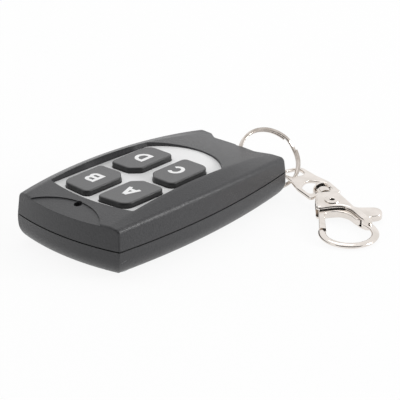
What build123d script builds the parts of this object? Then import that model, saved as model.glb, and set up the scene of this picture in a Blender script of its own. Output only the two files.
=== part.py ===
# Four-key radio remote control on a split ring with a swivel clasp.
# Millimetres. X is the width, Y the length with the key ring at +Y, Z is up.
# The origin is the middle of the flat back that the remote lies on.

from build123d import *
import math
import os

os.makedirs("parts", exist_ok=True)

# Housing, plan at the parting plane
front_y = -30.0          # where the front corners stand
rear_y = 31.4            # tips of the two horns beside the key-ring notch
front_half = 16.6       # half width at the front corners
mid_half = 17.95         # half width at mid-length
rear_half = 14.0         # half width at the horn tips
front_bow = 2.26         # how far the front bulges past its corners
front_round = 0.6        # rounding round the front end, up one corner and along the crest
rear_round = 1.3         # the same round the horns
ridge_r = 3.0            # rounding between the flat of the top and the rails

# Housing, heights
parting_z = 7.0          # plane where the two shells meet
draft = 5.0              # slope of the upper shell's walls, degrees
lower_draft = 4.0
under_r = 4.9            # rounding between wall and back
crown_z = 14.85          # highest line of the crowned top
crown_y = -5.3
crown_r = 158.0          # lengthwise radius of the top
shoulder_z = 12.85       # highest point of the line where rail meets wall
shoulder_y = -9.0
shoulder_r = 420.0
shoulder_fillet = 1.4
rail_width = 4.65         # widest place of the sloping side rails
rail_y = 8.0             # where the rails are widest
rail_reach = 56.0        # length over which they run out to nothing
rail_least = 0.35
wall = 1.5
floor = 1.3              # thickness of the back
skin = 1.25              # thickness of the top
groove = 0.3             # dark line between the shells
groove_depth = 0.5
groove_over = 1.0        # how far its cutter stands out of the wall

# Key-ring notch and mouth
notch_mouth = 10.6       # half width of the notch at the horn tips
notch_half = 6.4         # half width of its bottom
notch_y = 28.2
notch_bulge = 0.45
notch_r = 1.6
mouth_left = -3.5        # opening in the end wall, behind the notch
mouth_right = 11.4
mouth_slant = 4.0        # how much narrower the mouth is at its inner end
mouth_low = 1.3
mouth_high = 9.9
mouth_depth_y = 24.6
bar_y = 28.0             # cross bar that the split ring goes round
bar_z = 6.8
bar_r = 0.8
bar_seat = 0.8           # how far its ends run into the walls beside the mouth
bar_gap = 0.05
relief_r = 1.25          # dimple that lets the ring past the edge of the notch
relief_point = Vector(1.6, 28.15, 9.85)
relief_axis = Vector(-0.47, 0.63, 0.62)
relief_reach = 4.0

# Sunk field and face panel
field_half_front = 13.4
field_half_mid = 13.05
field_half_rear = 12.1
field_front_y = -22.0
field_mid_y = -8.0
field_rear_y = 9.6
field_front_bow = 1.75
field_rear_bow = 6.3
field_corner_r = 0.7
panel_z = 13.0
panel_thick = 0.5
panel_gap = 0.05
field_skin = 1.0

# Keys
key_top_z = 14.45
key_inner_front = 1.45   # half gap between the two front keys
key_inner_rear = 1.75
key_outer_front = 10.4
key_outer_rear = 10.1
key_front_y = (-22.0, -8.2)
key_rear_y = (-5.4, 8.0)
key_slant = 0.8          # front keys follow the bowed front of the field
key_cut = 2.3            # bevel at the corner that faces the middle
key_big_r = 2.6
key_small_r = 1.4
key_edge = 0.45          # rounding of the top edge
key_gap = 0.15
flange_width = 0.6
flange_thick = 0.5
flange_gap = 0.2
key_travel = 0.3
switch_x = 5.9
switch_front_y = -14.9
switch_rear_y = 1.4

# Switches and board
switch_side = 6.0
switch_height = 3.5
plunger_r = 1.75
plunger_rise = 0.8
plunger_gap = 0.06
plunger_well = 0.4       # depth of its well below its lowest position
switch_corner = 0.5
board_thick = 1.0
board_rear_y = 6.8
board_gap = 0.15
light_y = -26.4
light_hole_r = 1.0
light_r = 1.5
light_gap = 0.3          # under the top
light_dome_r = 1.425

# Crescent in front of the keys
crescent_r = 15.0
crescent_apex_y = -25.6
crescent_depth = 0.25

# Battery, a 12 V cylinder cell lying across
cell_r = 3.85
cell_length = 28.0
cell_y = 12.4
cell_gap = 0.04          # to the ribs that carry it
cell_rise = 0.3          # from the back's inner face
cell_edge = 0.5
terminal_r = 2.0
terminal_high = 0.7
contact_thick = 0.3
contact_wide = 5.0
contact_high = 5.0
strap_high = 1.4
foot_wide = 1.6
foot_inset = 0.2         # from the board's rear edge

# Small parts on the board
light_flange_r = 1.9
light_flange_high = 1.0
chip_spot = (-6.0, -6.7)
chip_long = 8.7
chip_wide = 3.9
chip_high = 1.6
chip_stand = 0.16        # its body clears the board by this
chip_edge = 0.25
lead_long = 0.9
lead_wide = 0.42
lead_pitch = 1.27
lead_count = 6
lead_thick = 0.2
lead_top = 0.8           # where a lead leaves the chip, above the board
lead_knee = 0.4          # how far out it bends down
lead_in = 0.1
can_spot = (6.0, -6.7)
can_r = 3.6
can_high = 2.6
can_rim = 0.35
can_edge = 0.4
passive_size = (2.0, 1.25, 0.55)
passive_spots = ((-8.5, -22.6), (-5.2, -22.6), (5.2, -22.6), (8.5, -22.6), (0.0, -12.8), (0.0, -16.0),
                 (0.0, 1.5))
track_half = 11.6        # loop aerial on the board
track_front_y = -21.2
track_rear_y = 5.9
track_wide = 0.9
track_thick = 0.12
track_break = 2.4

# Screws
screw_r = 1.0
screw_head_r = 1.9
screw_head_rise = 1.2
screw_inset = 0.3        # how far the heads stand inside the back
screw_length = 8.5
screw_spots = ((-12.6, -25.6), (12.6, -25.6), (0.0, 20.2))
screw_cross = 0.5        # width of the cross recess
screw_cross_deep = 0.8
screw_head_edge = 0.5
screw_tip = 0.3
screw_gap = 0.2          # round the head
boss_r = 2.4
pilot_gap = 0.04
pilot_extra = 0.6        # hole beyond the screw's tip
shank_gap = 0.15
post_r = 1.2
post_spots = ((-11.5, -16.0), (11.5, -16.0), (-11.5, 4.4), (11.5, 4.4))
cradle_x = 8.5           # ribs that carry the battery
cradle_thick = 1.2
cradle_high = 5.2

# Split ring
ring_r = 7.8             # to the middle of the wire
ring_band = 0.62         # width of one coil
ring_thick = 0.8
ring_slit = 0.06         # between the coils
ring_edge = 0.16
jog_from = 70.0          # where the wire steps from one coil to the other, degrees
jog_to = 100.0
ring_centre = Vector(5.9, 34.15, 7.35)
ring_normal = Vector(0.676, -0.193, 0.711).normalized()

# Clasp, drawn flat about its rivet with x towards the hook end
clasp_pivot = Vector(28.3, 31.4, 1.95)
clasp_heading = -34.0
clasp_dip = 3.2
claw_half = 1.8          # half thickness of the body
claw_under = 1.4         # the same under the arm, where the clasp comes near the table
claw_round = 0.7
claw_profile = (-6.0, 2.5, 9.0, 14.0)     # where the body starts, begins to thin, thins further, and ends
claw_reach = 10.0        # half width that is more than the clasp's
slot_half = 0.95         # half height of the slot that holds the lever
slot_from_x = -3.5
slot_to_x = 10.1
lever_half = 0.85
lever_edge = 0.25
lever_reach = 13.1       # from the rivet to the end of the gate
hook_x = 14.1            # centre of the round end
hook_r = 6.3             # middle of the hook's bar
bar_wide = 0.95          # half width of the hook's bar
bar_high = 0.6           # half height
hook_tip = 250.5         # where the hook's bar ends, degrees
hook_root = 128.0
stem_r = 1.0
stem_gap = 0.06
stem_head_x = -8.5
stem_head_r = 2.2
stem_head_high = 1.5
stem_head_round = 1.1
stem_root_x = -4.6
rivet_r = 1.1
rivet_hole_r = 0.6
rivet_head_r = 1.9
rivet_head_high = 0.28
rivet_gap = 0.05
rivet_edge = 0.18
spring_wire = 0.3
spring_r = 1.75
spring_pitch = 0.31
spring_turns = 2
spring_pocket_r = 2.15
spring_pocket_floor = 0.9    # above the floor of the slot
boss_corner = 2.6        # the lever's round boss about the rivet is drawn in a square this big

# Swivel eye, drawn from its base towards the ring
eye_base_x = -6.2        # where its base stands on the clasp's axis
eye_tilt = 17.0          # how it leans over on the ring: sideways, up, and about its own length
eye_pitch = 2.0
eye_roll = 3.0
eye_half = 0.42          # half thickness
eye_round = 0.25
eye_hole_x = 12.46
eye_hole_y = 0.7
eye_hole_long = 3.4
eye_hole_wide = 4.6
eye_hole_r = 1.4
hub_r = 1.75
hub_ends = (-8.3, -5.55)

long_half = 34.5         # the housing is first drawn this far each way, then cut to length
beyond = 3.0             # how far cutting shapes run past what they cut
long_cut = 40.0          # length of a cut that takes away all behind a line
search = 1.5             # edges are looked for this near to a place


def direction(heading, dip):
    """Unit vector that lies heading degrees from +X in plan and points down by dip degrees."""
    heading = math.radians(heading)
    dip = math.radians(dip)
    return Vector(math.cos(heading) * math.cos(dip), math.sin(heading) * math.cos(dip), -math.sin(dip))


def leaning(vector, towards, angle):
    """A unit vector turned by angle degrees towards another that is square to it."""
    angle = math.radians(angle)
    return vector * math.cos(angle) + towards * math.sin(angle)


# Values worked out from the sizes above
keys = {"a": (1, True), "b": (-1, True), "c": (1, False), "d": (-1, False)}
field_floor = panel_z - panel_thick
field_under = field_floor - field_skin
flange_top = field_under - flange_gap
key_low = flange_top - flange_thick
board_top = key_low - plunger_rise - switch_height
board_low = board_top - board_thick
top_limit = crown_z + beyond
screw_seat_z = screw_head_rise + screw_inset
cell_z = floor + cell_rise + cell_r
spring_floor = spring_pocket_floor - slot_half
foot_y = board_rear_y - foot_wide - foot_inset
light_top = field_under - light_gap
clasp_plane = Plane(clasp_pivot, x_dir=direction(clasp_heading, clasp_dip),
                    z_dir=direction(clasp_heading, clasp_dip - 90))
claw_side = Plane(clasp_pivot, x_dir=clasp_plane.x_dir, z_dir=-clasp_plane.y_dir)
claw_axis = Axis(clasp_pivot, clasp_plane.x_dir)
rivet_axis = Axis(clasp_pivot, clasp_plane.z_dir)
eye_along = leaning(-clasp_plane.x_dir, clasp_plane.y_dir, -eye_tilt)
eye_up = leaning(clasp_plane.z_dir, eye_along, -eye_pitch)
eye_along = leaning(eye_along, clasp_plane.z_dir, eye_pitch)
eye_up = leaning(eye_up, eye_along.cross(eye_up), eye_roll)
eye_plane = Plane(clasp_pivot + clasp_plane.x_dir * eye_base_x, x_dir=eye_along, z_dir=eye_up)
ring_plane = Plane(ring_centre, x_dir=Vector(1, 0, 0) - ring_normal * ring_normal.X, z_dir=ring_normal)


# Lines that the housing is drawn from

def claw_point(x, y=0.0, z=0.0):
    """Point given in the clasp's own directions."""
    return clasp_plane.from_local_coords(Vector(x, y, z))


def ring_section(angle):
    """Plane through the ring's axis, turned to angle, with its y along the axis."""
    angle = math.radians(angle)
    outward = ring_plane.x_dir * math.cos(angle) + ring_plane.y_dir * math.sin(angle)
    backward = ring_plane.x_dir * math.sin(angle) - ring_plane.y_dir * math.cos(angle)
    return Plane(ring_centre, x_dir=outward, z_dir=backward)


def side_x(y):
    """Half width of the housing at the parting plane."""
    middle = (front_half + rear_half) / 2 - mid_half
    lean = (rear_half - front_half) / 2
    t = (2 * y - rear_y - front_y) / (rear_y - front_y)
    return mid_half + lean * t + middle * t * t


def arc_z(y, top, top_y, radius):
    """Height of a long arc that is highest at top_y."""
    return top - radius + math.sqrt(radius ** 2 - (y - top_y) ** 2)


def crown(y):
    return arc_z(y, crown_z, crown_y, crown_r)


def shoulder(y):
    return arc_z(y, shoulder_z, shoulder_y, shoulder_r)


def rail(y):
    """Width of the sloping rail beside the flat part of the top."""
    return max(rail_width * (1 - ((y - rail_y) / rail_reach) ** 2), rail_least)


def top_section(y, inset, drop):
    """Corners of the upper shell's cross-section, with its walls drawn in and its top lowered."""
    lean = math.tan(math.radians(draft))
    wall_x = side_x(y) - (shoulder(y) - parting_z) * lean
    ridge_x = wall_x - rail(y)
    foot_x = side_x(y) - inset
    slope = (crown(y) - shoulder(y)) / rail(y)
    edge_x = wall_x - inset + drop * lean
    edge_z = shoulder(y) - drop + slope * (wall_x - edge_x)
    return [(-foot_x, parting_z), (foot_x, parting_z), (edge_x, edge_z), (ridge_x, crown(y) - drop),
            (-ridge_x, crown(y) - drop), (-edge_x, edge_z)]


def top_space(inset, drop):
    """The upper shell's long form, walls drawn in by inset and top lowered by drop."""
    stations = 7
    edge_r = max(shoulder_fillet - inset, 0)
    corner_radii = (0, 0, edge_r, ridge_r, ridge_r, edge_r)
    step = 2 * long_half / (stations - 1)
    with BuildPart() as space:
        for i in range(stations):
            y = i * step - long_half
            with BuildSketch(Plane.XZ.offset(-y)):
                with BuildLine():
                    FilletPolyline(*top_section(y, inset, drop), radius=corner_radii, close=True)
                make_face()
        loft()
    return space.part


def long_plan():
    """Plan of the housing's two sides, running on past both ends."""
    end_half = side_x(-long_half), side_x(long_half)
    with BuildSketch() as plan:
        with BuildLine():
            ThreePointArc((end_half[0], -long_half), (mid_half, 0), (end_half[1], long_half))
            Line((end_half[1], long_half), (-end_half[1], long_half))
            ThreePointArc((-end_half[1], long_half), (-mid_half, 0), (-end_half[0], -long_half))
            Line((-end_half[0], -long_half), (end_half[0], -long_half))
        make_face()
    return plan.sketch


def end_plan():
    """Plan of the two ends, the bowed front and the straight rear, with wide sides."""
    wide = mid_half + beyond
    bow_r = (front_half ** 2 + front_bow ** 2) / (2 * front_bow)
    wide_y = front_y - front_bow + bow_r - math.sqrt(bow_r ** 2 - wide ** 2)
    with BuildSketch() as plan:
        with BuildLine():
            ThreePointArc((-wide, wide_y), (0, front_y - front_bow), (wide, wide_y))
            Polyline((wide, wide_y), (wide, rear_y), (-wide, rear_y), (-wide, wide_y))
        make_face()
    return plan.sketch


def end_space(base_z, height, slope):
    """The space between the two ends, leaning inwards by slope degrees."""
    with BuildPart() as space:
        with BuildSketch(Plane.XY.offset(base_z)):
            add(end_plan())
        extrude(amount=height, taper=slope)
    return space.part


def outline(inset=0.0):
    """Plan of the housing at the parting plane without its notch, drawn in by inset."""
    with BuildSketch() as plan:
        add(long_plan())
        add(end_plan(), mode=Mode.INTERSECT)
        if inset:
            offset(amount=-inset)
    return plan.sketch


def notch():
    """Plan of the notch between the horns, open to the rear."""
    out_y = rear_y + beyond
    flare = (notch_mouth - notch_half) / (rear_y - notch_y)
    out_x = notch_mouth + flare * beyond
    with BuildSketch() as plan:
        with BuildLine():
            ThreePointArc((-notch_half, notch_y), (0, notch_y + notch_bulge), (notch_half, notch_y))
            Polyline((notch_half, notch_y), (out_x, out_y), (-out_x, out_y), (-notch_half, notch_y))
        make_face()
        fillet(plan.vertices().group_by(Axis.Y)[0], notch_r)
    return plan.sketch


def mouth(clear=0.0):
    """Plan of the key-ring mouth behind the end wall."""
    with BuildSketch() as plan:
        with BuildLine():
            Polyline((mouth_left - clear, mouth_depth_y - clear),
                     (mouth_right - mouth_slant + clear, mouth_depth_y - clear),
                     (mouth_right + clear, notch_y),
                     (mouth_right + clear, rear_y + beyond),
                     (mouth_left - clear, rear_y + beyond), close=True)
        make_face()
    return plan.sketch


def field(inset=0.0):
    """Plan of the sunk field that the face panel lies in, drawn in by inset."""
    front_half_width = field_half_front - inset
    mid_half_width = field_half_mid - inset
    rear_half_width = field_half_rear - inset
    low_y = field_front_y + inset
    high_y = field_rear_y - inset
    with BuildSketch() as plan:
        with BuildLine():
            ThreePointArc((-front_half_width, low_y), (0, low_y - field_front_bow),
                          (front_half_width, low_y))
            ThreePointArc((front_half_width, low_y), (mid_half_width, field_mid_y),
                          (rear_half_width, high_y))
            ThreePointArc((rear_half_width, high_y), (0, high_y + field_rear_bow),
                          (-rear_half_width, high_y))
            ThreePointArc((-rear_half_width, high_y), (-mid_half_width, field_mid_y),
                          (-front_half_width, low_y))
        make_face()
        fillet(plan.vertices(), field_corner_r)
    return plan.sketch


def key_plan(side, front, grow=0.0):
    """Plan of one key: side is 1 for +X, front is True for the pair at the light's end."""
    inner = key_inner_front if front else key_inner_rear
    outer = key_outer_front if front else key_outer_rear
    low, high = key_front_y if front else key_rear_y
    if front:
        points = [(inner, low), (outer, low + key_slant), (outer, high),
                  (inner + key_cut, high), (inner, high - key_cut)]
        radii = [key_small_r, key_big_r, key_small_r, key_small_r, key_small_r]
    else:
        points = [(inner, low + key_cut), (inner + key_cut, low), (outer, low), (outer, high),
                  (inner, high)]
        radii = [key_small_r, key_small_r, key_small_r, key_big_r, key_small_r]
    with BuildSketch() as plan:
        with BuildLine():
            Polyline(*[(side * x, y) for x, y in points], close=True)
        make_face()
        for (x, y), radius in zip(points, radii):
            corner = plan.vertices().sort_by_distance((side * x, y, 0))[0]
            fillet(corner, radius)
        if grow:
            offset(amount=grow)
    return plan.sketch


# Upper shell

with BuildPart() as upper_cavity:
    with BuildSketch(Plane.XY.offset(parting_z)):
        add(outline(wall))
        with Locations((0, mouth_depth_y - wall + long_cut / 2)):
            Rectangle(4 * mid_half, long_cut, mode=Mode.SUBTRACT)
    extrude(amount=field_under - parting_z)
    add(top_space(0, skin), mode=Mode.INTERSECT)

with BuildPart() as upper_shell:
    add(top_space(0, 0))
    add(end_space(parting_z, top_limit - parting_z, draft), mode=Mode.INTERSECT)
    upright = upper_shell.edges().filter_by_position(Axis.Z, parting_z + groove, top_limit)
    front = [e for e in upright if e.center().Y < front_y + search]
    fillet(front, front_round)
    upright = upper_shell.edges().filter_by_position(Axis.Z, parting_z + groove, top_limit)
    rear = [e for e in upright if e.center().Y > rear_y - search]
    fillet(rear, rear_round)
    add(upper_cavity.part, mode=Mode.SUBTRACT)
    # notch between the horns and the mouth that the ring goes in by
    with BuildSketch(Plane.XY.offset(parting_z)):
        add(notch())
    extrude(amount=top_limit - parting_z, taper=-draft, mode=Mode.SUBTRACT)
    with BuildSketch(Plane.XY.offset(parting_z)):
        add(mouth())
    extrude(amount=mouth_high - parting_z, mode=Mode.SUBTRACT)
    # seat of the cross bar, and a dimple where the ring leans over the notch's edge
    with BuildSketch(Plane.YZ.offset(mouth_left - bar_seat - bar_gap)):
        with Locations((bar_y, bar_z)):
            Circle(bar_r + bar_gap)
    extrude(amount=mouth_right - mouth_left + 2 * (bar_seat + bar_gap), mode=Mode.SUBTRACT)
    with BuildSketch(Plane(relief_point, z_dir=relief_axis)):
        Circle(relief_r)
    extrude(amount=relief_reach, both=True, mode=Mode.SUBTRACT)
    # sunk field with a hole for each key
    with BuildSketch(Plane.XY.offset(field_floor)):
        add(field())
    extrude(amount=top_limit - field_floor, mode=Mode.SUBTRACT)
    with BuildSketch(Plane.XY.offset(field_under)):
        for side, front in keys.values():
            add(key_plan(side, front, key_gap))
    extrude(amount=field_skin, mode=Mode.SUBTRACT)
    # crescent and the hole for the light
    crescent_tilt = math.degrees(math.atan((crown(crescent_apex_y) - crown(front_y - front_bow))
                                           / (front_y - front_bow - crescent_apex_y)))
    crescent_plane = Plane((0, crescent_apex_y, crown(crescent_apex_y) - crescent_depth), x_dir=(1, 0, 0),
                           z_dir=(0, math.sin(math.radians(crescent_tilt)),
                                  math.cos(math.radians(crescent_tilt))))
    with BuildSketch(crescent_plane):
        with Locations((0, -crescent_r)):
            Circle(crescent_r)
    extrude(amount=beyond, mode=Mode.SUBTRACT)
    with Locations((0, light_y, top_limit)):
        Hole(light_hole_r, top_limit - parting_z)
    # dark line between the shells
    with BuildSketch(Plane.XY.offset(parting_z)):
        add(outline(-groove_over))
        add(outline(groove_depth), mode=Mode.SUBTRACT)
    extrude(amount=groove, mode=Mode.SUBTRACT)
    # screw bosses
    with BuildSketch(Plane.XY.offset(parting_z)):
        with Locations(*screw_spots):
            Circle(boss_r)
    extrude(amount=field_under - parting_z)
    with Locations(*[(x, y, parting_z) for x, y in screw_spots]):
        Hole(screw_r + pilot_gap, screw_length - (parting_z - screw_seat_z) + pilot_extra)
upper_shell.part.label = "upper_shell"
export_step(upper_shell.part, "parts/upper_shell.step")


# Lower shell

with BuildPart() as lower_cavity:
    with BuildSketch(Plane.XY.offset(parting_z)):
        add(outline(wall))
        with Locations((0, mouth_depth_y - wall + long_cut / 2)):
            Rectangle(4 * mid_half, long_cut, mode=Mode.SUBTRACT)
    extrude(amount=floor - parting_z)
    fillet(lower_cavity.edges().group_by(Axis.Z)[0], under_r - wall)

with BuildPart() as lower_shell:
    with BuildSketch(Plane.XY.offset(parting_z)):
        add(outline())
    extrude(amount=-parting_z, taper=lower_draft)
    fillet(lower_shell.edges().group_by(Axis.Z)[0], under_r)
    with BuildSketch(Plane.XY.offset(parting_z)) as corners:
        add(outline())
        fillet(corners.vertices().sort_by(Axis.Y)[:2], front_round)
        fillet(corners.vertices().sort_by(Axis.Y)[-2:], rear_round)
    extrude(amount=-parting_z, mode=Mode.INTERSECT)
    add(lower_cavity.part, mode=Mode.SUBTRACT)
    with BuildSketch(Plane.XY.offset(parting_z)):
        add(notch())
    extrude(amount=-parting_z, taper=-lower_draft, mode=Mode.SUBTRACT)
    with BuildSketch(Plane.XY.offset(mouth_low)):
        add(mouth())
    extrude(amount=parting_z - mouth_low, mode=Mode.SUBTRACT)
    # cross bar for the split ring
    with BuildSketch(Plane.YZ.offset(mouth_left - bar_seat)):
        with Locations((bar_y, bar_z)):
            Circle(bar_r)
    extrude(amount=mouth_right - mouth_left + 2 * bar_seat)
    # screw bosses with sunk holes from the back
    with BuildSketch(Plane.XY.offset(floor)):
        with Locations(*screw_spots):
            Circle(boss_r)
    extrude(amount=parting_z - floor)
    # posts under the board and ribs that cradle the battery
    with BuildSketch(Plane.XY.offset(floor)):
        with Locations(*post_spots):
            Circle(post_r)
    extrude(amount=board_low - floor)
    with BuildSketch(Plane.XY.offset(floor)):
        with Locations((-cradle_x, cell_y), (cradle_x, cell_y)):
            Rectangle(cradle_thick, 2 * cell_r)
    extrude(amount=cradle_high - floor)
    with BuildSketch(Plane.YZ.offset(-cell_length / 2)):
        with Locations((cell_y, cell_z)):
            Circle(cell_r + cell_gap)
    extrude(amount=cell_length, mode=Mode.SUBTRACT)
    with BuildSketch():
        with Locations(*screw_spots):
            Circle(screw_head_r + screw_gap)
    extrude(amount=screw_seat_z, mode=Mode.SUBTRACT)
    with BuildSketch():
        with Locations(*screw_spots):
            Circle(screw_r + shank_gap)
    extrude(amount=parting_z, mode=Mode.SUBTRACT)
lower_shell.part.label = "lower_shell"
export_step(lower_shell.part, "parts/lower_shell.step")


# Face panel, glued into the sunk field

with BuildPart() as face_panel:
    with BuildSketch(Plane.XY.offset(field_floor)):
        add(field(panel_gap))
        for side, front in keys.values():
            add(key_plan(side, front, key_gap), mode=Mode.SUBTRACT)
    extrude(amount=panel_thick)
face_panel.part.label = "face_panel"
export_step(face_panel.part, "parts/face_panel.step")


# Keys, each with a flange that keeps it under the top

for name, (side, front) in keys.items():
    with BuildPart() as button:
        with BuildSketch(Plane.XY.offset(key_low)):
            add(key_plan(side, front))
        extrude(amount=key_top_z - key_low)
        fillet(button.edges().group_by(Axis.Z)[-1], key_edge)
        with BuildSketch(Plane.XY.offset(key_low)):
            add(key_plan(side, front, flange_width))
        extrude(amount=flange_thick)
    button.part.label = "button_" + name
    export_step(button.part, "parts/button_" + name + ".step")


# Circuit board with a switch under each key

with BuildPart() as circuit_board:
    with BuildSketch(Plane.XY.offset(board_low)):
        add(outline(wall + board_gap))
        with Locations((0, board_rear_y + long_cut / 2)):
            Rectangle(4 * mid_half, long_cut, mode=Mode.SUBTRACT)
        with Locations(*screw_spots[:2]):
            Circle(boss_r + board_gap, mode=Mode.SUBTRACT)
    extrude(amount=board_thick)
circuit_board.part.label = "circuit_board"
export_step(circuit_board.part, "parts/circuit_board.step")

for name, (side, front) in keys.items():
    spot = (side * switch_x, switch_front_y if front else switch_rear_y)
    with BuildPart() as switch_base:
        with BuildSketch(Plane.XY.offset(board_top)):
            with Locations(spot):
                Rectangle(switch_side, switch_side)
        extrude(amount=switch_height)
        chamfer(switch_base.edges().filter_by(Axis.Z), switch_corner)
        with BuildSketch(Plane.XY.offset(board_top + switch_height)):
            with Locations(spot):
                Circle(plunger_r + plunger_gap)
        extrude(amount=-key_travel - plunger_well, mode=Mode.SUBTRACT)
    switch_base.part.label = "switch_base_" + name
    export_step(switch_base.part, "parts/switch_base_" + name + ".step")

    with BuildPart() as switch_plunger:
        with BuildSketch(Plane.XY.offset(key_low)):
            with Locations(spot):
                Circle(plunger_r)
        extrude(amount=-plunger_rise)
    switch_plunger.part.label = "switch_plunger_" + name
    export_step(switch_plunger.part, "parts/switch_plunger_" + name + ".step")


# Light and small parts on the board

with BuildPart() as indicator_led:
    with BuildSketch(Plane.XY.offset(board_top)):
        with Locations((0, light_y)):
            Circle(light_flange_r)
    extrude(amount=light_flange_high)
    with BuildSketch(Plane.XY.offset(board_top + light_flange_high)):
        with Locations((0, light_y)):
            Circle(light_r)
    extrude(amount=light_top - board_top - light_flange_high)
    fillet(indicator_led.edges().group_by(Axis.Z)[-1], light_dome_r)
indicator_led.part.label = "indicator_led"
export_step(indicator_led.part, "parts/indicator_led.step")

with BuildPart() as encoder_chip:
    chip_x, chip_y = chip_spot
    with BuildSketch(Plane.XY.offset(board_top + chip_stand)):
        with Locations(chip_spot):
            Rectangle(chip_long, chip_wide)
    extrude(amount=chip_high - chip_stand)
    chamfer(encoder_chip.edges().group_by(Axis.Z)[-1], chip_edge)
    # leads that step down to the board
    for side in (1, -1):
        for i in range(lead_count):
            lead_x = chip_x + (i - (lead_count - 1) / 2) * lead_pitch
            root_y = chip_y + side * chip_wide / 2
            in_y = root_y - side * lead_in
            knee_y = root_y + side * lead_knee
            toe_y = root_y + side * lead_long
            with BuildSketch(Plane.YZ.offset(lead_x - lead_wide / 2)):
                with BuildLine():
                    Polyline((in_y, board_top + lead_top), (knee_y, board_top + lead_top),
                             (knee_y, board_top + lead_thick), (toe_y, board_top + lead_thick),
                             (toe_y, board_top), (knee_y - side * lead_thick, board_top),
                             (knee_y - side * lead_thick, board_top + lead_top - lead_thick),
                             (in_y, board_top + lead_top - lead_thick), close=True)
                make_face()
            extrude(amount=lead_wide)
encoder_chip.part.label = "encoder_chip"
export_step(encoder_chip.part, "parts/encoder_chip.step")

with BuildPart() as resonator_can:
    with BuildSketch(Plane.XY.offset(board_top)):
        with Locations(can_spot):
            Circle(can_r + can_rim)
    extrude(amount=can_rim)
    with BuildSketch(Plane.XY.offset(board_top)):
        with Locations(can_spot):
            Circle(can_r)
    extrude(amount=can_high)
    fillet(resonator_can.edges().group_by(Axis.Z)[-1], can_edge)
resonator_can.part.label = "resonator_can"
export_step(resonator_can.part, "parts/resonator_can.step")

with BuildPart() as chip_components:
    long, wide, high = passive_size
    with BuildSketch(Plane.XY.offset(board_top)):
        with Locations(*passive_spots):
            Rectangle(long, wide)
    extrude(amount=high)
chip_components.part.label = "chip_components"
export_step(chip_components.part, "parts/chip_components.step")

with BuildPart() as loop_aerial:
    with BuildSketch(Plane.XY.offset(board_top)):
        middle_y = (track_front_y + track_rear_y) / 2
        long = track_rear_y - track_front_y
        with Locations((0, middle_y)):
            Rectangle(2 * track_half, long)
            Rectangle(2 * (track_half - track_wide), long - 2 * track_wide, mode=Mode.SUBTRACT)
        with Locations((0, track_front_y)):
            Rectangle(track_break, 3 * track_wide, mode=Mode.SUBTRACT)
    extrude(amount=track_thick)
loop_aerial.part.label = "loop_aerial"
export_step(loop_aerial.part, "parts/loop_aerial.step")


# Battery lying across, with a contact at each end

with BuildPart() as battery_cell:
    with BuildSketch(Plane.YZ.offset(-cell_length / 2)):
        with Locations((cell_y, cell_z)):
            Circle(cell_r)
    extrude(amount=cell_length - terminal_high)
    fillet(battery_cell.edges(), cell_edge)
    with BuildSketch(Plane.YZ.offset(cell_length / 2 - terminal_high)):
        with Locations((cell_y, cell_z)):
            Circle(terminal_r)
    extrude(amount=terminal_high)
battery_cell.part.label = "battery_cell"
export_step(battery_cell.part, "parts/battery_cell.step")

for name, side in (("positive", 1), ("negative", -1)):
    with BuildPart() as contact:
        # plate at the end of the cell, with a strap forward to a foot on the board
        with BuildSketch(Plane.YZ.offset(side * (cell_length / 2 + contact_thick / 2))):
            with Locations((cell_y, cell_z)):
                Rectangle(contact_wide, contact_high)
            with BuildLine():
                Polyline((cell_y, board_top), (cell_y, board_top + strap_high),
                         (foot_y, board_top + strap_high), (foot_y, board_top), close=True)
            make_face()
        extrude(amount=contact_thick / 2, both=True)
        foot_x = side * (cell_length / 2 + contact_thick - foot_wide / 2)
        with BuildSketch(Plane.XY.offset(board_top)):
            with Locations((foot_x, foot_y + foot_wide / 2)):
                Rectangle(foot_wide, foot_wide)
        extrude(amount=contact_thick)
    contact.part.label = "battery_contact_" + name
    export_step(contact.part, "parts/battery_contact_" + name + ".step")


# Three case screws, driven in from the back

with BuildPart() as case_screws:
    with BuildSketch(Plane.XY.offset(screw_inset)):
        with Locations(*screw_spots):
            Circle(screw_head_r)
    extrude(amount=screw_head_rise)
    fillet(case_screws.edges().group_by(Axis.Z)[0], screw_head_edge)
    with BuildSketch(Plane.XY.offset(screw_seat_z)):
        with Locations(*screw_spots):
            Circle(screw_r)
    extrude(amount=screw_length)
    chamfer(case_screws.edges().group_by(Axis.Z)[-1], screw_tip)
    with BuildSketch(Plane.XY.offset(screw_inset)):
        with Locations(*screw_spots):
            Rectangle(2 * screw_r, screw_cross)
            Rectangle(screw_cross, 2 * screw_r)
    extrude(amount=screw_cross_deep, mode=Mode.SUBTRACT)
case_screws.part.label = "case_screws"
export_step(case_screws.part, "parts/case_screws.step")


# Split ring: two coils of one strip with a step between them

with BuildPart() as split_ring:
    coil_z = (ring_band + ring_slit) / 2
    for level in (-coil_z, coil_z):
        with BuildSketch(ring_section(jog_to)):
            with Locations((ring_r, level)):
                RectangleRounded(ring_thick, ring_band, ring_edge)
        revolve(axis=Axis(ring_centre, ring_normal), revolution_arc=360 - (jog_to - jog_from))
    steps = 4
    for i in range(steps + 1):
        level = -coil_z * math.cos(math.pi * i / steps)
        with BuildSketch(ring_section(jog_from + i * (jog_to - jog_from) / steps)):
            with Locations((ring_r, level)):
                RectangleRounded(ring_thick, ring_band, ring_edge)
    loft()
split_ring.part.label = "split_ring"
export_step(split_ring.part, "parts/split_ring.step")


# Swivel eye: a small eye for the ring, and a wide window in which the stem's head turns

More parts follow.
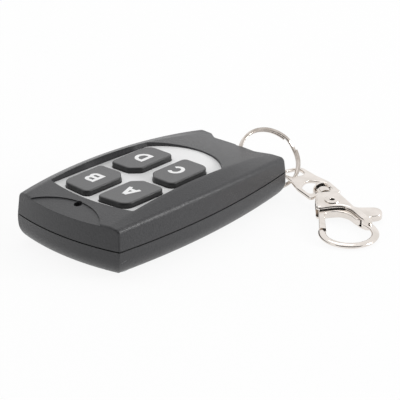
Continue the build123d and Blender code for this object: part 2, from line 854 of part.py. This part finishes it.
eye_outline = ((-0.4, -4.5), (-0.4, -3.4), (0.4, -2.3), (0.4, 2.3), (-0.4, 3.4), (-0.4, 4.5), (5.2, 4.75),
               (9.4, 3.75), (14.95, 3.75), (14.95, -2.6), (9.4, -3.5), (5.2, -4.75))
eye_corners = (0.5, 0.5, 1, 1, 0.5, 0.5, 3.5, 3, 2.2, 2.0, 3, 3.5)
eye_window = ((1.5, -3.55), (5.2, -3.55), (8.0, 0), (5.2, 3.55), (1.5, 3.55))
eye_window_corners = (0.8, 1.6, 2.0, 1.6, 0.8)
with BuildPart() as swivel_eye:
    with BuildSketch(eye_plane.offset(-eye_half)):
        with BuildLine():
            FilletPolyline(*eye_outline, radius=eye_corners, close=True)
        make_face()
        with Locations((eye_hole_x, eye_hole_y)):
            RectangleRounded(eye_hole_long, eye_hole_wide, eye_hole_r, mode=Mode.SUBTRACT)
        with BuildLine():
            FilletPolyline(*eye_window, radius=eye_window_corners, close=True)
        make_face(mode=Mode.SUBTRACT)
    extrude(amount=2 * eye_half)
    flats = swivel_eye.faces().filter_by(Axis(eye_plane.origin, eye_up))
    fillet(flats.edges(), eye_round)
    with BuildSketch(Plane(claw_point(hub_ends[0]), z_dir=clasp_plane.x_dir)):
        Circle(hub_r)
    extrude(amount=hub_ends[1] - hub_ends[0])
    with BuildSketch(Plane(claw_point(hub_ends[0]), z_dir=clasp_plane.x_dir)):
        Circle(stem_r + stem_gap)
    extrude(amount=hub_ends[1] - hub_ends[0], mode=Mode.SUBTRACT)
swivel_eye.part.label = "swivel_eye"
export_step(swivel_eye.part, "parts/swivel_eye.step")


# Body of the clasp: two cheeks joined at the top and at the end of the arm, the hook and the stem

claw_outline = ((-5.1, -2.8), (0.9, -4.25), (3.1, -4.9), (2.8, -1.0), (3.0, 1.5), (4.6, 3.1), (9.4, 4.1),
                (12.2, 5.2), (11.6, 6.9), (9.0, 6.1), (4.7, 4.6), (-5.1, 2.8))
claw_corners = (0.9, 8, 0.9, 6, 3, 4, 6, 0.85, 0.85, 6, 8, 0.9)
with BuildPart() as hook_body:
    with BuildSketch(clasp_plane.offset(-claw_half)):
        with BuildLine():
            FilletPolyline(*claw_outline, radius=claw_corners, close=True)
        make_face()
    extrude(amount=2 * claw_half)
    fillet(hook_body.faces().filter_by(rivet_axis).edges(), claw_round)
    # the arm grows thinner towards the hook
    start_x, thin_x, low_x, end_x = claw_profile
    with BuildSketch(claw_side):
        with BuildLine():
            Polyline((start_x, -claw_half), (thin_x, -claw_half), (low_x, -claw_under), (end_x, -bar_high),
                     (end_x, bar_high), (low_x, claw_half), (start_x, claw_half), close=True)
        make_face()
    extrude(amount=claw_reach, both=True, mode=Mode.INTERSECT)
    # the hook's bar, an oval that runs round from the arm to the gate
    hook_circle = clasp_plane.shift_origin(claw_point(hook_x))
    with BuildLine() as hook_path:
        CenterArc((0, 0), hook_r, hook_tip, 360 + hook_root - hook_tip)
    path = hook_circle * hook_path.line
    with BuildSketch(Plane(path @ 0, x_dir=clasp_plane.z_dir, z_dir=path % 0)):
        Ellipse(bar_high, bar_wide)
    sweep(path=path)
    # stem with its round head
    with BuildSketch(Plane(claw_point(stem_head_x), z_dir=clasp_plane.x_dir)):
        Circle(stem_r)
    extrude(amount=stem_root_x - stem_head_x)
    with BuildSketch(Plane(claw_point(stem_head_x), z_dir=-clasp_plane.x_dir)):
        Circle(stem_head_r)
    extrude(amount=stem_head_high)
    head_end = hook_body.faces().sort_by(claw_axis)[0]
    fillet(head_end.edges(), stem_head_round)
    # slot for the lever and hole for the rivet
    with BuildSketch(clasp_plane.offset(-slot_half)):
        with Locations(((slot_from_x + slot_to_x) / 2, 0)):
            Rectangle(slot_to_x - slot_from_x, 2 * claw_reach)
    extrude(amount=2 * slot_half, mode=Mode.SUBTRACT)
    with BuildSketch(clasp_plane.offset(-claw_half)):
        Circle(rivet_r + rivet_gap)
    extrude(amount=2 * claw_half, mode=Mode.SUBTRACT)
    with BuildSketch(clasp_plane.offset(-claw_half)):
        Circle(rivet_head_r + rivet_gap)
    extrude(amount=rivet_head_high, mode=Mode.SUBTRACT)
hook_body.part.label = "hook_body"
export_step(hook_body.part, "parts/hook_body.step")


# Trigger lever: the gate that shuts the hook and the paddle that a thumb pushes

lever_outline = ((-boss_corner, -boss_corner), (13.4, -7.1), (13.6, -5.3), (4.4, -3.2), (3.7, -0.6), (5.4, 2.3),
                 (9.2, 3.3), (9.4, 5.6), (8.3, 7.2), (8.3, 10.5), (4.2, 10.7), (3.1, 5.2),
                 (-boss_corner, boss_corner))
lever_corners = (2.4, 0.3, 0.3, 1.2, 2.5, 4, 0.6, 1.5, 1.5, 2.0, 2.0, 1.5, 2.4)
with BuildPart() as trigger_lever:
    with BuildSketch(clasp_plane.offset(-lever_half)):
        with BuildLine():
            FilletPolyline(*lever_outline, radius=lever_corners, close=True)
        make_face()
    extrude(amount=2 * lever_half)
    fillet(trigger_lever.faces().filter_by(rivet_axis).edges(), lever_edge)
    with BuildSketch(clasp_plane.offset(-lever_half)):
        Circle(lever_reach)
    extrude(amount=2 * lever_half, mode=Mode.INTERSECT)
    with BuildSketch(clasp_plane.offset(-lever_half)):
        Circle(rivet_r + rivet_gap)
    extrude(amount=2 * lever_half, mode=Mode.SUBTRACT)
    # pocket for the spring
    with BuildSketch(clasp_plane.offset(spring_floor)):
        Circle(spring_pocket_r)
    extrude(amount=2 * lever_half, mode=Mode.SUBTRACT)
trigger_lever.part.label = "trigger_lever"
export_step(trigger_lever.part, "parts/trigger_lever.step")


# Hollow rivet with a rolled head at each end, the lower one let in

with BuildPart() as lever_rivet:
    with BuildSketch(claw_side):
        with Locations(((rivet_r + rivet_hole_r) / 2, rivet_head_high / 2)):
            Rectangle(rivet_r - rivet_hole_r, 2 * claw_half + rivet_head_high)
        with Locations(((rivet_head_r + rivet_hole_r) / 2, claw_half + rivet_head_high / 2),
                       ((rivet_head_r + rivet_hole_r) / 2, -claw_half + rivet_head_high / 2)):
            Rectangle(rivet_head_r - rivet_hole_r, rivet_head_high)
    revolve(axis=rivet_axis)
    ends = lever_rivet.faces().filter_by(rivet_axis).sort_by(rivet_axis)
    fillet(ends[-1].edges(), rivet_edge)
lever_rivet.part.label = "lever_rivet"
export_step(lever_rivet.part, "parts/lever_rivet.step")


# Spring of the lever, wound round the rivet

with BuildPart() as trigger_spring:
    spring_low = spring_floor + spring_wire / 2
    with BuildLine():
        coil = Helix(spring_pitch, spring_pitch * spring_turns, spring_r, center=claw_point(0, 0, spring_low),
                     direction=clasp_plane.z_dir)
    with BuildSketch(Plane(coil @ 0, z_dir=coil % 0)):
        Circle(spring_wire / 2)
    sweep(path=coil)
trigger_spring.part.label = "trigger_spring"
export_step(trigger_spring.part, "parts/trigger_spring.step")
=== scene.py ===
# %% [markdown]
# # A four-key radio remote on its split ring and clasp
# The imported model is the fixed frame of this scene: every plastic and metal part comes from it in its
# real place, in metres. This lesson places the camera, gives the parts their finishes, prints the marks
# on the keys and sets up the studio. It starts by loading the model.

# %% The imported model
import math

import bpy
import numpy as np
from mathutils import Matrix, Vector


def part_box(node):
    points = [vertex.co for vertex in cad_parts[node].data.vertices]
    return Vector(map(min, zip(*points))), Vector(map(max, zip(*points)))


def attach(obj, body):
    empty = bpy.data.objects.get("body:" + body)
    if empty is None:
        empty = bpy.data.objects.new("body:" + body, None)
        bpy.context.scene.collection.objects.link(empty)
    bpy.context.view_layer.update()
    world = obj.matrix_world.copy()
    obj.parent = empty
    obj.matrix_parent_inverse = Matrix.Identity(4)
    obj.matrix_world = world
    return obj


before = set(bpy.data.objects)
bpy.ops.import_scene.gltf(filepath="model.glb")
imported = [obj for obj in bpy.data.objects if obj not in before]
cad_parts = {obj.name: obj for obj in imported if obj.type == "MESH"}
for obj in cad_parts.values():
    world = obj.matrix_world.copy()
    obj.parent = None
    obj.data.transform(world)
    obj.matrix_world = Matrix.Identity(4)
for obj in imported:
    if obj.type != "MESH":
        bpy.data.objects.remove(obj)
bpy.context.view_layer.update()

MM = 0.001

# %% [markdown]
# ## Camera
# The photograph is taken from some distance, so lines hardly converge. A long lens far away gives the
# same view. A direction, a distance and a point to aim at say more about a view than the camera's three
# coordinates do, so the place is worked out from them. The direction is an azimuth from the front of the
# remote and a height above the table.

# %% Camera
AZIMUTH = math.radians(42.27)
HEIGHT = math.radians(23.86)
DISTANCE = 616.2 * MM
AIM = Vector((8.79, 5.72, 6.3)) * MM
FOCAL = 233.3           # both in millimetres, as on a real lens
SENSOR = 36.0

back = Vector((math.sin(AZIMUTH) * math.cos(HEIGHT),
               -math.cos(AZIMUTH) * math.cos(HEIGHT),
               math.sin(HEIGHT)))
lens = bpy.data.cameras.new("camera")
lens.lens = FOCAL
lens.sensor_width = SENSOR
lens.clip_start = 10 * MM
camera = bpy.data.objects.new("camera", lens)
bpy.context.scene.collection.objects.link(camera)
camera.location = AIM + back * DISTANCE
camera.rotation_euler = back.to_track_quat("Z", "Y").to_euler()
bpy.context.scene.camera = camera
print("camera at", [round(v, 3) for v in camera.location])

# %% [markdown]
# ## Colours and nodes
# Colours are written as the hex values that a picture shows. Cycles works with linear light, so one
# function turns them over. Another adds a shader node with its settings and links, which keeps every
# material below short. A third makes a colour ramp, whose stops can't be set as a node's sockets are.

# %% Colours and nodes
def linear(code):
    """Linear RGBA of an sRGB hex value: a short straight part near black, then a power of 2.4."""
    srgb = np.array([int(code[i:i + 2], 16) for i in (1, 3, 5)]) / 255
    rgb = np.where(srgb <= 0.04045, srgb / 12.92, ((srgb + 0.055) / 1.055) ** 2.4)
    return (*rgb.tolist(), 1.0)


def add(tree, kind, sockets=None, links=None, **settings):
    """One node: settings go to its properties, sockets to its inputs, links are (input, node, output)."""
    node = tree.nodes.new("ShaderNode" + kind)
    for key, value in settings.items():
        setattr(node, key, value)
    for key, value in (sockets or {}).items():
        node.inputs[key].default_value = value
    for key, source, output in links or ():
        tree.links.new(source.outputs[output], node.inputs[key])
    return node


def ramp(tree, source, output, stops):
    """A colour ramp whose stops are (place, hex colour)."""
    node = add(tree, "ValToRGB", links=[("Fac", source, output)])
    elements = node.color_ramp.elements
    while len(elements) < len(stops):
        elements.new(1.0)
    for element, (place, code) in zip(elements, stops):
        element.position = place
        element.color = linear(code)
    return node


print("a picture's mid grey is", round(linear("#808080")[0], 3), "in linear light")

# %% [markdown]
# ## One uneven skin
# No real surface is the same all over: where the mould or the plating dips a little, the tone and the
# gloss change too. So one noise drives all three. It reads Object coordinates, in metres, and its scale
# comes from the size of its features in millimetres, so the pattern stays in place when a part moves.

# %% The uneven skin
def per_metre(size_mm):
    """Scale of a noise whose features are size_mm across, on coordinates in metres."""
    return 1 / (size_mm * MM)


def material(name):
    """A new material with its tree, its shader and its Texture Coordinate node."""
    made = bpy.data.materials.new(name)
    made.use_nodes = True
    tree = made.node_tree
    return made, tree, tree.nodes["Principled BSDF"], add(tree, "TexCoord")


def uneven(name, noise, tones, rough, depth_mm, strength):
    """A material whose tone, roughness and height all follow one noise.

    The tones are (noise value, hex colour). The roughness runs evenly between its two values, from a
    noise of 0.3 to one of 0.7, where nearly all of it lies.
    """
    made, tree, shader, where = material(name)
    skin = add(tree, "TexNoise", noise, [("Vector", where, "Object")])
    tone = ramp(tree, skin, "Fac", tones)
    gloss = add(tree, "MapRange", {"From Min": 0.3, "From Max": 0.7, "To Min": rough[0], "To Max": rough[1]},
                [("Value", skin, "Fac")])
    bump = add(tree, "Bump", {"Strength": strength, "Distance": depth_mm * MM}, [("Height", skin, "Fac")])
    tree.links.new(tone.outputs["Color"], shader.inputs["Base Color"])
    tree.links.new(gloss.outputs["Result"], shader.inputs["Roughness"])
    tree.links.new(bump.outputs["Normal"], shader.inputs["Normal"])
    return made, shader


print("0.4 mm grain needs a noise scale of", round(per_metre(0.4)), "per metre")

# %% [markdown]
# ## Moulded black ABS
# The case is ABS from a spark-eroded mould, which leaves a fine even grain. The plastic is dark, and
# bright only where a low view or a soft lamp catches the grain. The real grain is about 0.1 mm wide. It
# is drawn 0.4 mm wide, because finer grain is lost at the size of the picture. The keys are the same
# plastic, with a painted lighter grey on their tops for the light on them, and painted shade on their sides.

# %% Case and keys
PLASTIC_IOR = 1.53      # typical of ABS, and near enough for the other plastics


def moulded(name, dark, light, grain_mm, depth_mm, rough):
    """Moulded plastic: a fine grain that is rougher and lighter on its crests."""
    noise = {"Scale": per_metre(grain_mm), "Detail": 3.0, "Roughness": 0.6}
    made, shader = uneven(name, noise, [(0.3, dark), (0.7, light)], rough, depth_mm, 1.0)
    shader.inputs["IOR"].default_value = PLASTIC_IOR
    return made


# ABS, injection moulded in a spark-eroded tool: deep grey with a fine satin sparkle.
case_abs = moulded("spark_eroded_black_abs", "#27272a", "#39393b", 0.4, 0.1, (0.28, 0.44))
# ABS, moulded: this lighter, evener grey is painted light, the sheen on the key tops; the roughness adds a
# broad sheen.
keys_lit_and_shaded_abs = moulded("abs_keys_painted_lit_tops_shaded_sides", "#515152", "#626263", 0.36, 0.05, (0.32, 0.46))
print(case_abs.name, "and", keys_lit_and_shaded_abs.name)

# %% [markdown]
# ## Painted lit tops and shaded sides on the keys
# The tops of the keys are painted a lighter grey, as lit, and their steep sides, which stay near black in
# the photograph, a near black, as shaded. The two could be split by cutting the mesh, but the parts' meshes
# aren't touched here. The direction in which the surface faces separates them just as well: its Z is 1 on a
# top and 0 on a side.

# %% Painted lit tops and shaded sides on the keys
def paint_lit_tops_shaded_sides(lit_top_material, shaded_side_code):
    """Mixes the painted lit-top colour with the painted shaded-side colour: none of it up to a normal's Z of
    0.55, all of it from 0.9.
    """
    tree = lit_top_material.node_tree
    shader = tree.nodes["Principled BSDF"]
    lit_top_colour = shader.inputs["Base Color"].links[0].from_socket
    where = add(tree, "TexCoord")
    facing = add(tree, "SeparateXYZ", links=[("Vector", where, "Normal")])
    lit_share = add(tree, "MapRange", {"From Min": 0.55, "From Max": 0.9}, [("Value", facing, "Z")])
    both = add(tree, "Mix", {"A": linear(shaded_side_code)}, [("Factor", lit_share, "Result")], data_type="RGBA")
    tree.links.new(lit_top_colour, both.inputs["B"])
    tree.links.new(both.outputs["Result"], shader.inputs["Base Color"])


# Painted light and shade: the key tops get the lighter grey as if lit, the steep sides near black as if
# shaded.
paint_lit_tops_shaded_sides(keys_lit_and_shaded_abs, "#1c1c1d")
print(keys_lit_and_shaded_abs.name, "has", len(keys_lit_and_shaded_abs.node_tree.nodes), "nodes")

# %% [markdown]
# ## Other plastics
# The face panel is a white sheet with a satin front, and the letters are thick white ink. The switches,
# the chip and the jacket of the cell sit inside and are plainer, but are finished all the same, because
# the case can be opened.

# %% Panel, ink and inner plastics
# Polycarbonate sheet, rolled with a satin face: white, with a soft sheen and hardly any texture.
panel_white = moulded("satin_white_polycarbonate_panel", "#f1f1f1", "#f5f5f5", 0.5, 0.004, (0.32, 0.4))
# Epoxy ink, wiped on by a silicone pad: the whitest thing on the remote, and duller than the panel.
ink_white = moulded("white_pad_print", "#f4f4f4", "#fbfbfb", 0.3, 0.004, (0.5, 0.6))
# Glass-filled nylon, moulded: near black and a little uneven.
switch_nylon = moulded("black_nylon_switch_body", "#1d1d1f", "#252528", 0.3, 0.01, (0.4, 0.55))
# Acetal, moulded without pigment: a waxy ivory.
plunger_pom = moulded("natural_acetal_plunger", "#d8d4c4", "#e2dece", 0.3, 0.008, (0.35, 0.5))
# Epoxy, moulded round the silicon: dull and almost black.
chip_epoxy = moulded("moulded_chip_epoxy", "#1b1b1c", "#242425", 0.2, 0.01, (0.55, 0.7))
# PVC film, shrunk on by heat: green and glossy, with shallow ripples.
cell_jacket = moulded("shrunk_pvc_cell_jacket", "#2d5138", "#335a3f", 1.2, 0.01, (0.25, 0.35))
print("plastics:", len(bpy.data.materials))

# %% [markdown]
# ## Board and status light
# The board is glass cloth pressed with epoxy, and its weave shows faintly through the green lacquer. Two
# crossed waves, multiplied, give a plain weave. The status light is clear epoxy cast in a mould, tinted
# red, so it passes light and glints.

# %% Board and status light
WEAVE_MM = 3.77         # the real threads are 0.6 mm apart, and are drawn coarser so that they show
WAVES_PER_SCALE = 20 / (2 * math.pi)        # bands per unit of a Wave texture at a scale of 1


def lacquered_board():
    """Green lacquer over glass cloth: the product of two sine waves at right angles gives the weave."""
    made, tree, shader, where = material("green_lacquered_glass_epoxy")
    threads = {"Scale": per_metre(WEAVE_MM) / WAVES_PER_SCALE, "Distortion": 0.4}
    warp = add(tree, "TexWave", threads, [("Vector", where, "Object")], bands_direction="X")
    weft = add(tree, "TexWave", threads, [("Vector", where, "Object")], bands_direction="Y")
    cloth = add(tree, "Math", links=[(0, warp, "Fac"), (1, weft, "Fac")], operation="MULTIPLY")
    tone = ramp(tree, cloth, "Value", [(0.0, "#1d5a35"), (1.0, "#2a6e42")])
    bump = add(tree, "Bump", {"Strength": 0.4, "Distance": 0.01 * MM}, [("Height", cloth, "Value")])
    tree.links.new(tone.outputs["Color"], shader.inputs["Base Color"])
    tree.links.new(bump.outputs["Normal"], shader.inputs["Normal"])
    shader.inputs["Roughness"].default_value = 0.35
    return made


def clear_lamp():
    """Red-tinted clear epoxy with a slightly uneven moulded skin."""
    made, tree, shader, where = material("red_clear_epoxy_lamp")
    skin = add(tree, "TexNoise", {"Scale": per_metre(0.8)}, [("Vector", where, "Object")])
    bump = add(tree, "Bump", {"Strength": 0.3, "Distance": 0.01 * MM}, [("Height", skin, "Fac")])
    tree.links.new(bump.outputs["Normal"], shader.inputs["Normal"])
    shader.inputs["Base Color"].default_value = linear("#7a1c18")
    shader.inputs["Roughness"].default_value = 0.08
    shader.inputs["IOR"].default_value = 1.54
    shader.inputs["Transmission Weight"].default_value = 0.6
    return made


board_green = lacquered_board()
lamp_red = clear_lamp()
print(board_green.name, "and", lamp_red.name)

# %% [markdown]
# ## Metals
# The clasp and the eye are zinc castings, tumbled smooth and nickel plated: bright, a little warm, with a
# faint orange-peel skin. The ring is rolled steel strip with the same plating, and is a little darker in
# the photograph. Steel, tin and copper inside differ in tone and gloss. What a metal shows is mostly what
# it mirrors, so its two tones are close together and its bump is slight.

# %% Plated and plain metals
def metal(name, dark, light, rough, skin_mm, depth_mm):
    """Metal with an uneven skin, whose tone changes over a narrower band of the noise than plastic's."""
    noise = {"Scale": per_metre(skin_mm), "Detail": 2.0}
    made, shader = uneven(name, noise, [(0.35, dark), (0.65, light)], rough, depth_mm, 0.5)
    shader.inputs["Metallic"].default_value = 1.0
    return made


# Nickel over die-cast zinc, tumbled before plating: a warm mirror with soft, slow waves.
clasp_nickel = metal("tumbled_nickel_plated_zinc", "#dfd8d1", "#eae3dd", (0.1, 0.16), 2.6, 0.003)
# Nickel over spring steel strip, rolled and coiled: the same warmth, darker and less sharp.
ring_nickel = metal("nickel_plated_spring_steel_strip", "#b3aaa2", "#c6beb7", (0.12, 0.2), 1.6, 0.002)
# Zinc over cold-headed steel: a bluish grey with a dull shine.
screw_steel = metal("zinc_plated_screw_steel", "#b9bcc0", "#cfd2d5", (0.28, 0.42), 0.5, 0.01)
# Carbon steel, drawn through dies: grey and fairly bright.
spring_steel = metal("drawn_spring_steel_wire", "#a9aaac", "#c2c3c5", (0.22, 0.34), 0.3, 0.005)
# Tin over stamped bronze: a pale and slightly milky grey.
contact_tin = metal("tinned_bronze_contact", "#c9c7c2", "#dbd9d4", (0.26, 0.4), 0.6, 0.006)
# Copper foil, etched: salmon pink, dulled by handling.
track_copper = metal("bare_copper_track", "#c47a54", "#d88f68", (0.25, 0.4), 0.5, 0.004)
print("materials so far:", len(bpy.data.materials))

# %% [markdown]
# ## Dressing the parts
# Each part of the model keeps its shape and gets the finish of what it is made of. The table runs from
# finish to part names, so that a part without a finish is easy to spot.

# %% Finishes on the parts
finishes = {
    case_abs: ["upper_shell", "lower_shell"],
    panel_white: ["face_panel"],
    # The keys' material carries painted lit tops and painted shaded sides.
    keys_lit_and_shaded_abs: ["button_" + key for key in "abcd"],
    switch_nylon: ["switch_base_" + key for key in "abcd"],
    plunger_pom: ["switch_plunger_" + key for key in "abcd"],
    board_green: ["circuit_board"],
    lamp_red: ["indicator_led"],
    chip_epoxy: ["encoder_chip", "chip_components"],
    contact_tin: ["battery_contact_positive", "battery_contact_negative", "resonator_can"],
    track_copper: ["loop_aerial"],
    cell_jacket: ["battery_cell"],
    screw_steel: ["case_screws"],
    ring_nickel: ["split_ring"],
    clasp_nickel: ["swivel_eye", "hook_body", "trigger_lever", "lever_rivet"],
    spring_steel: ["trigger_spring"],
}
for finish, names in finishes.items():
    for name in names:
        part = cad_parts[name]
        if not part.material_slots:
            part.data.materials.append(finish)
        for place in part.material_slots:
            place.material = finish
bare = set(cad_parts) - {name for names in finishes.values() for name in names}
print("parts without a finish:", sorted(bare))

# %% [markdown]
# ## Strokes of the marks
# Each key carries one printed capital, A to D. The strokes are all one width, like a pad-printed sans.
# Blender's text could draw them, but strokes give the even width and the plain shapes of this print. A
# stroke is a centreline carried sideways by half its width, with a little thickness, so each letter is a
# handful of closed bars with square ends. Where bars of a letter cross, their tops would lie in one plane
# and flicker, so each further bar stands a little prouder.

# %% Strokes
PRINT_WIDTH = 0.94
PRINT_THICK = 0.03
LAYER = 0.2             # how much thicker each further bar is, as a share of the first


def stroke(line, layer):
    """A closed bar along a line of (right, up) points: each moves half the width along the normal.

    Returns its (right, up, out) points, four to each point of the line, and its faces.
    """
    run = np.gradient(line, axis=0)
    run /= np.linalg.norm(run, axis=1, keepdims=True)
    side = np.stack([-run[:, 1], run[:, 0]], axis=1) * PRINT_WIDTH / 2
    left, right = line + side, line - side
    low = np.zeros((len(line), 1))
    high = low + PRINT_THICK * (1 + layer * LAYER)
    points = np.stack([np.hstack([right, low]), np.hstack([left, low]), np.hstack([left, high]),
                       np.hstack([right, high])], axis=1)
    here = np.arange(len(line) - 1)[:, None] * 4
    corner = np.arange(4)[None, :]
    after = (corner + 1) % 4
    walls = np.stack([here + corner, here + after, here + 4 + after, here + 4 + corner], axis=-1)
    last = 4 * (len(line) - 1)
    ends = np.array([[3, 2, 1, 0], [last, last + 1, last + 2, last + 3]])
    return points.reshape(-1, 3), np.vstack([walls.reshape(-1, 4), ends])


print("stroke of", PRINT_WIDTH, "mm, ink of", PRINT_THICK, "mm")

# %% [markdown]
# ## Centrelines of the letters
# Straight runs, arcs and bowls are enough for these four capitals. They are written in millimetres right
# and up from the middle of the letter, as its reader sees them.

# %% Letters
CAP = 2.2               # half the height of a capital
STEM = -1.25            # where the upright of B and D stands
edge = CAP - PRINT_WIDTH / 2


def straight(start, stop):
    """The two ends of a straight line."""
    return np.array([start, stop], float)


def bow(centre, radii, start, stop, steps):
    """Points of an elliptical arc: the radii times the cosine and sine of angles, start to stop degrees."""
    angle = np.radians(np.linspace(start, stop, steps))
    return np.array(centre) + np.array(radii) * np.stack([np.cos(angle), np.sin(angle)], axis=1)


def bowl(top, low, reach):
    """Half a round end, as far as reach, that leaves the stem at the height top and comes back at low."""
    middle, half = (top + low) / 2, (top - low) / 2
    turn = bow((reach - half, middle), (half, half), 88, -88, 24)
    return np.vstack([straight((STEM, top), (reach - half, top)), turn,
                      straight((reach - half, low), (STEM, low))])


upright = straight((STEM, -CAP), (STEM, CAP))
letters = {
    "a": [straight((-1.45, -2.0), (-0.1, 2.0)), straight((1.45, -2.0), (0.1, 2.0)),
          straight((-0.9, -0.9), (0.9, -0.9))],
    "b": [upright, bowl(edge, 0.0, 1.2), bowl(0.0, -edge, 1.3)],
    "c": [bow((0.0, 0.0), (1.45, edge), 44, 326, 40)],
    "d": [upright, bowl(edge, -edge, 1.35)],
}
print("bars in each letter:", {key: len(bars) for key, bars in letters.items()})

# %% [markdown]
# ## Letters on the keys
# The remote is read from the ring's end. There, right is the remote's -X and up is its -Y, so placing a
# letter means changing both signs. Each letter lies on its key's top and rides with it, so it sinks when
# the key is pressed.

# %% Letters on the keys
spots = {"a": (5.79, -15.14), "b": (-6.05, -14.92), "c": (5.28, 1.3), "d": (-5.95, 1.55)}
for key, bars in letters.items():
    base, points, faces = 0, [], []
    for layer, bar in enumerate(bars):
        bar_points, bar_faces = stroke(bar, layer)
        points.append(bar_points)
        faces.append(bar_faces + base)
        base += len(bar_points)
    drawn = np.vstack(points)
    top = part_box("button_" + key)[1].z / MM
    placed = np.stack([spots[key][0] - drawn[:, 0], spots[key][1] - drawn[:, 1], top + drawn[:, 2]], axis=1)
    mesh = bpy.data.meshes.new("mark_" + key)
    mesh.from_pydata((placed * MM).tolist(), [], np.vstack(faces).tolist())
    mesh.materials.append(ink_white)
    mark = bpy.data.objects.new("mark_" + key, mesh)
    bpy.context.scene.collection.objects.link(mark)
    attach(mark, "key_" + key)
    print(mark.name, len(mesh.polygons), "faces")

# %% [markdown]
# ## Studio
# The remote lies on a white sweep in a white room. The picture's ground has to be white without more
# light on the remote, which would wash it out. So the camera, mirrors and clear parts see the room and
# the sweep as plain white, and only the rays that light a surface meet their real brightness. Light Path
# tells the two kinds of ray apart.

# %% Room
def shown(tree):
    """1 for camera, glossy and transmission rays, and 0 for the rays that light a surface."""
    path = add(tree, "LightPath")
    mirrored = add(tree, "Math", links=[(0, path, "Is Glossy Ray"), (1, path, "Is Transmission Ray")],
                   operation="MAXIMUM")
    return add(tree, "Math", links=[(0, path, "Is Camera Ray"), (1, mirrored, "Value")], operation="MAXIMUM")


world = bpy.data.worlds.new("studio")
bpy.context.scene.world = world
world.use_nodes = True
room = world.node_tree
room.nodes.clear()
walls = add(room, "Background", {"Color": linear("#e4e4e4"), "Strength": 1.0})
plain_white = add(room, "Background", {"Color": linear("#ffffff"), "Strength": 1.0})
choice = add(room, "MixShader", links=[(0, shown(room), "Value"), (1, walls, "Background"),
                                       (2, plain_white, "Background")])
add(room, "OutputWorld", links=[("Surface", choice, "Shader")])
print("room with", len(room.nodes), "nodes")

# %% [markdown]
# ## Paper and felt
# The sweep is matt paper. A share of what shows of it is its own lit surface, which keeps the soft shadow
# under the remote. The dark card is felt, which gives back hardly any light.

# %% Paper and felt
SEEN_WHITE = 0.9        # share of plain white in what the camera and mirrors see of the sweep


def backdrop(name, fibre_mm, dark, light, rough):
    """A dull fibrous sheet whose tone follows a noise as coarse as its fibres."""
    made, tree, shader, where = material(name)
    fibre = add(tree, "TexNoise", {"Scale": per_metre(fibre_mm)}, [("Vector", where, "Object")])
    tone = ramp(tree, fibre, "Fac", [(0.3, dark), (0.7, light)])
    tree.links.new(tone.outputs["Color"], shader.inputs["Base Color"])
    shader.inputs["Roughness"].default_value = rough
    return made


def whiten(made):
    """Mixes the surface with plain white, for the rays that show it."""
    tree = made.node_tree
    shader = tree.nodes["Principled BSDF"]
    plain = add(tree, "Emission", {"Color": linear("#ffffff"), "Strength": 1.0})
    share = add(tree, "Math", {1: SEEN_WHITE}, [(0, shown(tree), "Value")], operation="MULTIPLY")
    mixed = add(tree, "MixShader", links=[(0, share, "Value"), (1, shader, "BSDF"), (2, plain, "Emission")])
    tree.links.new(mixed.outputs["Shader"], tree.nodes["Material Output"].inputs["Surface"])


# Uncoated paper from a roll: white, without a sheen.
paper = backdrop("white_paper_sweep", 2.0, "#fcfcfc", "#ffffff", 0.9)
whiten(paper)
# Pressed wool felt, dyed black: the dullest dark surface there is.
felt = backdrop("black_felt_card", 4.0, "#0c0c0c", "#121212", 1.0)
print(paper.name, "and", felt.name)

# %% [markdown]
# ## Sweep and card
# Both are flat sheets. The card stands behind the camera. The plated metal mirrors it, which draws the
# dark lines in it, and the card also keeps light off the near sides of the case, which stay deep grey.
# The camera never sees it, from any side.

# %% Sweep and card
SWEEP_HALF = 2.0
SWEEP_DROP = 0.02 * MM  # the sweep lies just under the case, so their faces don't fight
CARD_HALF = (1.15, 0.48)
CARD_AWAY = 1.1


def sheet(name, centre, right, up, finish):
    """A flat sheet whose corners are the centre plus or minus its right and up vectors, in metres."""
    signs = np.array([[-1, -1], [1, -1], [1, 1], [-1, 1]])
    corners = np.array(centre) + signs @ np.array([right, up])
    mesh = bpy.data.meshes.new(name)
    mesh.from_pydata(corners.tolist(), [], [(0, 1, 2, 3)])
    mesh.materials.append(finish)
    made = bpy.data.objects.new(name, mesh)
    bpy.context.scene.collection.objects.link(made)
    return made


sheet("sweep", (0, 0, -SWEEP_DROP), (SWEEP_HALF, 0, 0), (0, SWEEP_HALF, 0), paper)
across = Vector((0, 0, 1)).cross(back).normalized()
card = sheet("card", AIM + back * CARD_AWAY, across * CARD_HALF[0], back.cross(across) * CARD_HALF[1], felt)
card.visible_camera = False
print("card at", [round(v, 2) for v in AIM + back * CARD_AWAY])

# %% [markdown]
# ## Lamps
# Two soft boxes shape the light. A large one high behind the remote brightens the top and the keys. A
# small one, low on the right, gives the soft line along the near shoulder and the glints in the clasp.

# %% Lamps
def soft_box(name, place, size, power):
    """A square area lamp in metres that faces the point the camera aims at."""
    light = bpy.data.lights.new(name, "AREA")
    light.shape = "SQUARE"
    light.size = size
    light.energy = power
    box = bpy.data.objects.new(name, light)
    box.location = place
    box.rotation_euler = (Vector(place) - AIM).to_track_quat("Z", "Y").to_euler()
    bpy.context.scene.collection.objects.link(box)
    print(name, round((Vector(place) - AIM).length, 2), "m away")


soft_box("top_box", (-0.3, 0.2, 1.1), 0.6, 1.6)
soft_box("shoulder_box", (0.80, 0.50, 0.36), 0.3, 4.0)

# %% [markdown]
# ## Colour management and closing
# The picture is shown as it is lit, with the Standard view.

# %% Close
bpy.context.scene.view_settings.view_transform = "Standard"
